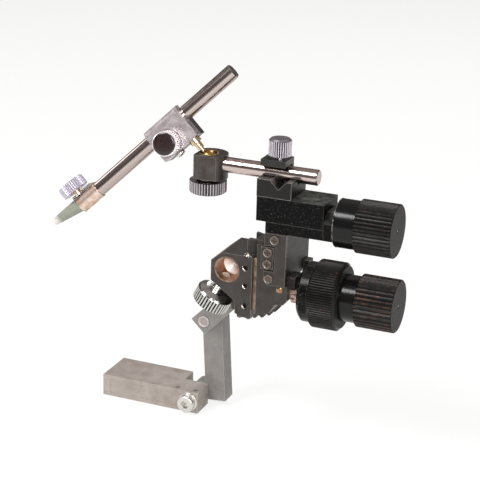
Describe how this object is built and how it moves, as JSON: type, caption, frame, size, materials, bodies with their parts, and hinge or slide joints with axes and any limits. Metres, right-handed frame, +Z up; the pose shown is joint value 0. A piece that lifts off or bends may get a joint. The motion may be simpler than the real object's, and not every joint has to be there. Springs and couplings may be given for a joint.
{
  "type": "micromanipulator",
  "caption": "Bench micromanipulator: jointed support arm, rack and screw drives, cross slide, clamped rod, ball head and angled tool rod.",
  "frame": {"origin": "centre of the underside of the base bar, where the part is bolted down", "axes": "+Z up, +X along the knob shafts towards the knobs, +Y away from the viewer"},
  "size_m": [0.1841, 0.0646, 0.1998],
  "materials": {
    "satin_steel": "faded satin",
    "dark_steel": "blackened steel with worn brown edges",
    "slide_black": "speckled black",
    "chrome": "polished",
    "socket_grey": "ground",
    "brass": "polished",
    "knob_black": "worn gloss black",
    "bright_steel": "turned",
    "tip_plastic": "matte"
  },
  "bodies": {
    "base": {"base_bar": "satin_steel", "base_grub_left": "bright_steel", "base_grub_right": "bright_steel", "arm_hinge_bolt": "bright_steel"},
    "swing_arm_body": {"swing_arm": "satin_steel"},
    "elbow_body": {"elbow_bar": "satin_steel", "elbow_pin": "bright_steel", "tilt_disc": "dark_steel", "tilt_index_key": "dark_steel"},
    "main_body": {"body_block": "dark_steel", "bore_bush": "brass", "gib": "brass", "gib_screw_high": "bright_steel", "gib_screw_middle": "bright_steel", "gib_screw_low": "bright_steel", "coarse_rack": "bright_steel", "tilt_bolt": "bright_steel", "toe_screw_left": "bright_steel", "toe_screw_right": "bright_steel", "top_screw": "bright_steel"},
    "bore_clamp_body": {"bore_clamp_screw": "chrome"},
    "carriage_body": {"carriage_block": "dark_steel", "stop_plate": "dark_steel", "stop_screw_upper": "bright_steel", "stop_screw_lower": "bright_steel", "lock_plug": "brass", "thrust_plate": "brass", "drag_collar": "brass", "index_flange": "knob_black"},
    "coarse_body": {"coarse_shaft": "bright_steel", "coarse_knob": "knob_black"},
    "fine_ring_body": {"fine_ring": "knob_black", "fine_sleeve": "bright_steel"},
    "fine_screw_body": {"fine_screw": "bright_steel"},
    "column_body": {"column": "dark_steel", "limit_plate": "dark_steel", "limit_screw_upper": "bright_steel", "limit_screw_lower": "bright_steel", "slide_base": "slide_black", "end_plate": "slide_black"},
    "cross_drive_body": {"lead_screw": "bright_steel", "cross_knob": "knob_black"},
    "cross_slide_body": {"upper_slide": "slide_black", "vee_block": "slide_black", "clamp_bridge": "chrome"},
    "thumbscrew_body": {"rod_thumbscrew": "chrome"},
    "cross_rod_body": {"cross_rod": "chrome"},
    "socket_body": {"socket_block": "socket_grey"},
    "socket_nut_body": {"socket_nut": "chrome"},
    "ball_body": {"ball": "brass"},
    "stud_body": {"ball_stud": "brass"},
    "clamp_body": {"rear_jaw": "dark_steel", "front_jaw": "chrome"},
    "jaw_screw_body": {"jaw_thumbscrew": "chrome"},
    "tool_rod_body": {"tool_rod": "chrome"},
    "tip_body": {"tip_sleeve": "brass", "tapered_tip": "tip_plastic", "tip_lug": "socket_grey", "tip_stud": "brass"},
    "tip_knob_body": {"tip_knob": "chrome"}
  },
  "joints": [
    {"name": "arm_swing", "type": "hinge", "parent": "base", "child": "swing_arm_body", "pos_m": [0.0234, 0.00195, 0.00615], "axis": [0, 1, 0], "range_deg": [-40, 40]},
    {"name": "elbow_swing", "type": "hinge", "parent": "swing_arm_body", "child": "elbow_body", "pos_m": [0.03025, 0.0018, 0.05391], "axis": [0, -1, 0], "range_deg": [-40, 40]},
    {"name": "body_tilt", "type": "hinge", "parent": "elbow_body", "child": "main_body", "pos_m": [0.06019, -0.009, 0.08449], "axis": [0, 1, 0], "range_deg": [-30, 30]},
    {"name": "bore_clamp_turn", "type": "hinge", "parent": "main_body", "child": "bore_clamp_body", "pos_m": [0.0567, -0.03585, 0.09949], "axis": [-0.4664, 0, -0.8846], "range_deg": [-180, 180]},
    {"name": "coarse_slide", "type": "slide", "parent": "main_body", "child": "carriage_body", "axis": [0, 0, 1], "range_m": [-0.008, 0.008]},
    {"name": "coarse_knob_turn", "type": "hinge", "parent": "carriage_body", "child": "coarse_body", "pos_m": [0.0567, -0.03035, 0.09069], "axis": [1, 0, 0], "range_deg": [-152.8, 152.8]},
    {"name": "fine_ring_turn", "type": "hinge", "parent": "carriage_body", "child": "fine_ring_body", "pos_m": [0.0567, -0.03035, 0.09069], "axis": [1, 0, 0], "range_deg": [-648.01, 648.01]},
    {"name": "fine_screw_turn", "type": "hinge", "parent": "carriage_body", "child": "fine_screw_body", "pos_m": [0.084, -0.03035, 0.09069], "axis": [0, 0, 1], "range_deg": [-648.01, 648.01]},
    {"name": "fine_slide", "type": "slide", "parent": "carriage_body", "child": "column_body", "axis": [0, 0, 1], "range_m": [-0.0009, 0.0009]},
    {"name": "cross_knob_turn", "type": "hinge", "parent": "column_body", "child": "cross_drive_body", "pos_m": [0.0567, -0.03185, 0.12999], "axis": [1, 0, 0], "range_deg": [-0.01, 6480.01]},
    {"name": "cross_slide", "type": "slide", "parent": "column_body", "child": "cross_slide_body", "axis": [1, 0, 0], "range_m": [-0.018, 0]},
    {"name": "thumbscrew_turn", "type": "hinge", "parent": "cross_slide_body", "child": "thumbscrew_body", "pos_m": [0.07909, -0.03185, 0.15129], "axis": [0, 0, 1], "range_deg": [-720, 0]},
    {"name": "cross_rod_slide", "type": "slide", "parent": "cross_slide_body", "child": "cross_rod_body", "axis": [1, 0, 0], "range_m": [-0.01, 0.016]},
    {"name": "socket_roll", "type": "hinge", "parent": "cross_rod_body", "child": "socket_body", "pos_m": [0.0567, -0.03185, 0.15129], "axis": [1, 0, 0], "range_deg": [-30, 30]},
    {"name": "socket_nut_turn", "type": "hinge", "parent": "socket_body", "child": "socket_nut_body", "pos_m": [0.04079, -0.03185, 0.15129], "axis": [0, 0, 1], "range_deg": [-180, 180]},
    {"name": "ball_swivel", "type": "hinge", "parent": "socket_body", "child": "ball_body", "pos_m": [0.04079, -0.03185, 0.15379], "axis": [0, 0, 1], "range_deg": [-25, 25]},
    {"name": "ball_tilt", "type": "hinge", "parent": "ball_body", "child": "stud_body", "pos_m": [0.04079, -0.03185, 0.15379], "axis": [0.0179, 0.9998, 0], "range_deg": [0, 40]},
    {"name": "clamp_spin", "type": "hinge", "parent": "stud_body", "child": "clamp_body", "pos_m": [0.03238, -0.0317, 0.16206], "axis": [-0.7133, 0.0128, 0.7007], "range_deg": [-30, 30]},
    {"name": "jaw_screw_turn", "type": "hinge", "parent": "clamp_body", "child": "jaw_screw_body", "pos_m": [0.02115, -0.03215, 0.15962], "axis": [0.1422, -0.9764, 0.1626], "range_deg": [-180, 180]},
    {"name": "tool_rod_slide", "type": "slide", "parent": "clamp_body", "child": "tool_rod_body", "axis": [0.6863, 0.2156, 0.6947], "range_m": [-0.03, 0.03]},
    {"name": "tip_roll", "type": "hinge", "parent": "tool_rod_body", "child": "tip_body", "pos_m": [-0.01997, -0.04352, 0.12732], "axis": [0.6863, 0.2156, 0.6947], "range_deg": [-180, 180]},
    {"name": "tip_knob_turn", "type": "hinge", "parent": "tip_body", "child": "tip_knob_body", "pos_m": [-0.02292, -0.04444, 0.12434], "axis": [-0.7133, 0.0128, 0.7007], "range_deg": [-360, 360]}
  ],
  "couplings": [
    {"joint": "coarse_knob_turn", "follows": "coarse_slide", "rad_per_m": -333.33},
    {"joint": "fine_ring_turn", "follows": "fine_slide", "rad_per_m": 12566},
    {"joint": "fine_screw_turn", "follows": "fine_slide", "rad_per_m": -12566},
    {"joint": "cross_knob_turn", "follows": "cross_slide", "rad_per_m": -6283.2}
  ]
}
